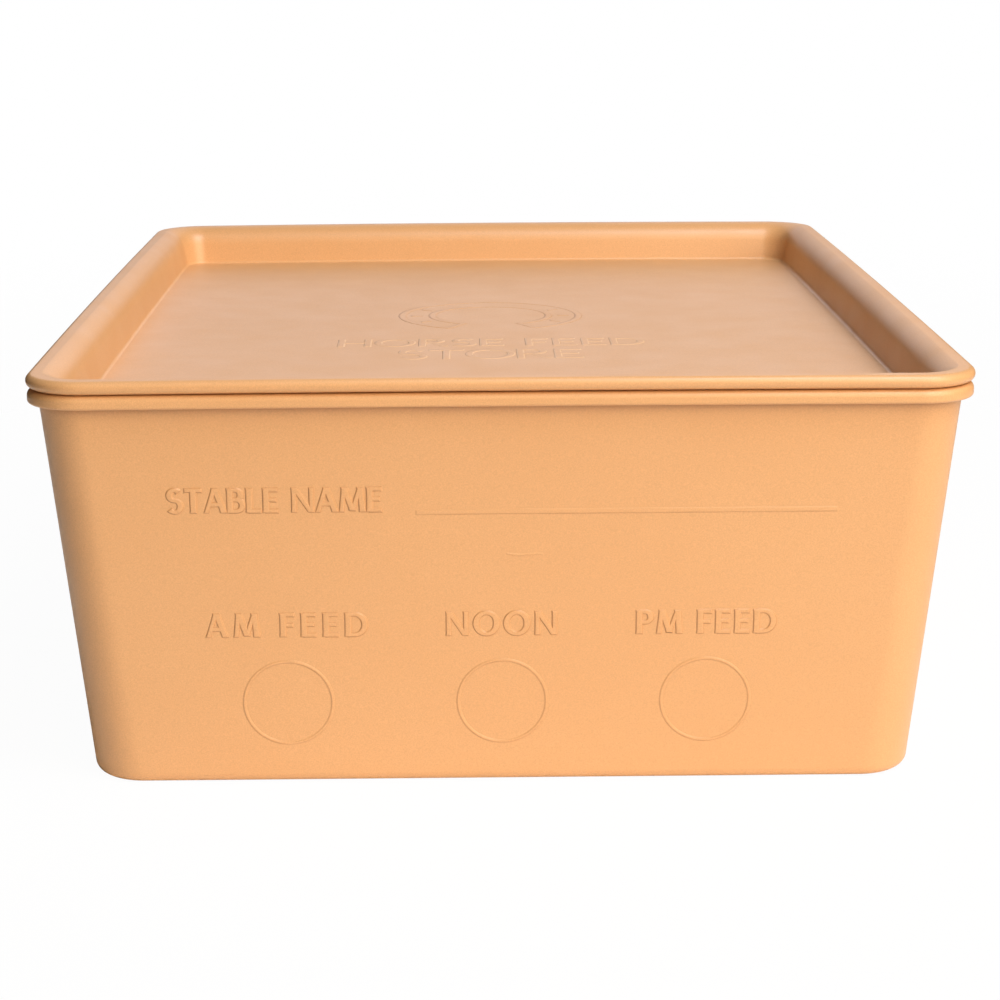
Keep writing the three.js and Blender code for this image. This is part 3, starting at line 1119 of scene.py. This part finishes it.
class FEEDBOX_OT_lid_marks(Operator):
    """Makes the marks on the lid: a horseshoe and two rows of plain letters."""

    bl_idname = "feedbox.lid_marks"
    bl_label = "Lid Marks"

    def execute(self, context):
        scene = context.scene
        marks, lid = scene.mark_sizes, scene.tray_lid_sizes
        well = Well(lid, Walls(scene.feed_box_sizes))
        plastic = bpy.data.materials[LID_FINISH]

        def add(name, strokes, shade):
            widths = [np.full(len(stroke), marks.lid_stroke) for stroke in strokes]
            points, foot, faces = ridges(strokes, widths, marks.lid_relief, marks.lid_flank)
            placed = on_lid(points, lid, well)
            # The foot times the shade is painted shade round the horseshoe, and a painted highlight
            # where the shade is below 0
            finish_piece(name, placed, faces, "lid", plastic, foot * shade)

        add("lid_horseshoe", horseshoe(0, SHOE_PLACE, SHOE_ACROSS, SHOE_ALONG), SHOE_SHADE)
        for name, height, start, end, base in LID_ROWS:
            strokes = text_strokes(getattr(marks, name), height, start, end, base)
            # A negative shade paints a highlight along the flanks of the lid's letters
            add(name, strokes, LID_TEXT_SHADE)
        return {"FINISHED"}


def area_light(name, place, aim, size, power, tint):
    """A soft square light at a place, turned towards a point."""
    light = bpy.data.lights.new(name, "AREA")
    light.size = size
    light.energy = power
    light.color = tint
    lamp = bpy.data.objects.new(name, light)
    bpy.context.scene.collection.objects.link(lamp)
    lamp.location = place
    lamp.rotation_euler = (Vector(aim) - Vector(place)).to_track_quat("-Z", "Y").to_euler()
    lamp.visible_camera = False
    return lamp


class FEEDBOX_OT_stage(Operator):
    """Makes the floor, the soft lights and the camera."""

    bl_idname = "feedbox.stage"
    bl_label = "Studio"

    def execute(self, context):
        scene = context.scene
        look = scene.studio_look
        mesh = bpy.data.meshes.new("studio_floor")
        turn = np.linspace(0, 2 * np.pi, FLOOR_SIDES, endpoint=False)
        rim = FLOOR_RADIUS * np.column_stack([np.cos(turn), np.sin(turn), 0 * turn])
        mesh.from_pydata(rim + (0, 0, -FLOOR_DROP), [], [list(range(len(rim)))])
        mesh.materials.append(floor_material(look))
        floor = bpy.data.objects.new("studio_floor", mesh)
        scene.collection.objects.link(floor)

        scene.world = white_world()

        middle = (0, 0, LID_HIGH.z / 2)
        area_light("high_light", HIGH_PLACE, middle, HIGH_SIZE, look.high, HIGH_TINT)
        area_light("front_light", FRONT_PLACE, middle, FRONT_SIZE, look.front, FRONT_TINT)
        area_light("back_light", BACK_PLACE, middle, BACK_SIZE, look.back, BACK_TINT)

        camera = bpy.data.cameras.new("camera")
        camera.lens = look.lens
        camera.sensor_width = SENSOR_WIDTH
        camera.shift_x = CAMERA_SHIFT
        camera.clip_end = CAMERA_REACH
        holder = bpy.data.objects.new("camera", camera)
        scene.collection.objects.link(holder)
        turn = Matrix.Rotation(CAMERA_YAW, 4, "Z")
        tilt = Matrix.Rotation(QUARTER - CAMERA_PITCH, 4, "X")
        roll = Matrix.Rotation(CAMERA_ROLL, 4, "Z")
        holder.matrix_world = Matrix.Translation(CAMERA_PLACE) @ turn @ tilt @ roll
        scene.camera = holder
        scene.view_settings.view_transform = "Standard"
        return {"FINISHED"}


class FEEDBOX_PT_panel(Panel):
    """Lists the pieces and their settings."""

    bl_idname = "FEEDBOX_PT_panel"
    bl_label = "Feed Box"
    bl_space_type = "VIEW_3D"
    bl_region_type = "UI"
    bl_category = "Feed Box"

    def draw(self, context):
        for operator in OPERATORS:
            self.layout.operator(operator.bl_idname)
        for name, group in SETTINGS.items():
            settings = getattr(context.scene, name)
            column = self.layout.column(heading=group.__doc__)
            for field in group.__annotations__:
                column.prop(settings, field)


SETTINGS = {
    "feed_box_sizes": FeedBoxSizes,
    "tray_lid_sizes": TrayLidSizes,
    "mark_sizes": MarkSizes,
    "plastic_look": PlasticLook,
    "studio_look": StudioLook,
}
OPERATORS = (
    FEEDBOX_OT_box,
    FEEDBOX_OT_lid,
    FEEDBOX_OT_front_marks,
    FEEDBOX_OT_lid_marks,
    FEEDBOX_OT_stage,
)
CLASSES = (*SETTINGS.values(), *OPERATORS, FEEDBOX_PT_panel)


def register():
    """Adds the settings, the operators and the panel."""
    for cls in CLASSES:
        bpy.utils.register_class(cls)
    for name, group in SETTINGS.items():
        setattr(bpy.types.Scene, name, PointerProperty(type=group))


def unregister():
    """Takes the settings, the operators and the panel away again."""
    for name in SETTINGS:
        delattr(bpy.types.Scene, name)
    for cls in reversed(CLASSES):
        bpy.utils.unregister_class(cls)


def main():
    """Builds every piece and the stage, then notes the packed and the finished sizes."""
    register()
    bpy.ops.feedbox.box()
    bpy.ops.feedbox.lid()
    bpy.ops.feedbox.front_marks()
    bpy.ops.feedbox.lid_marks()
    bpy.ops.feedbox.stage()


if __name__ == "__main__":
    main()
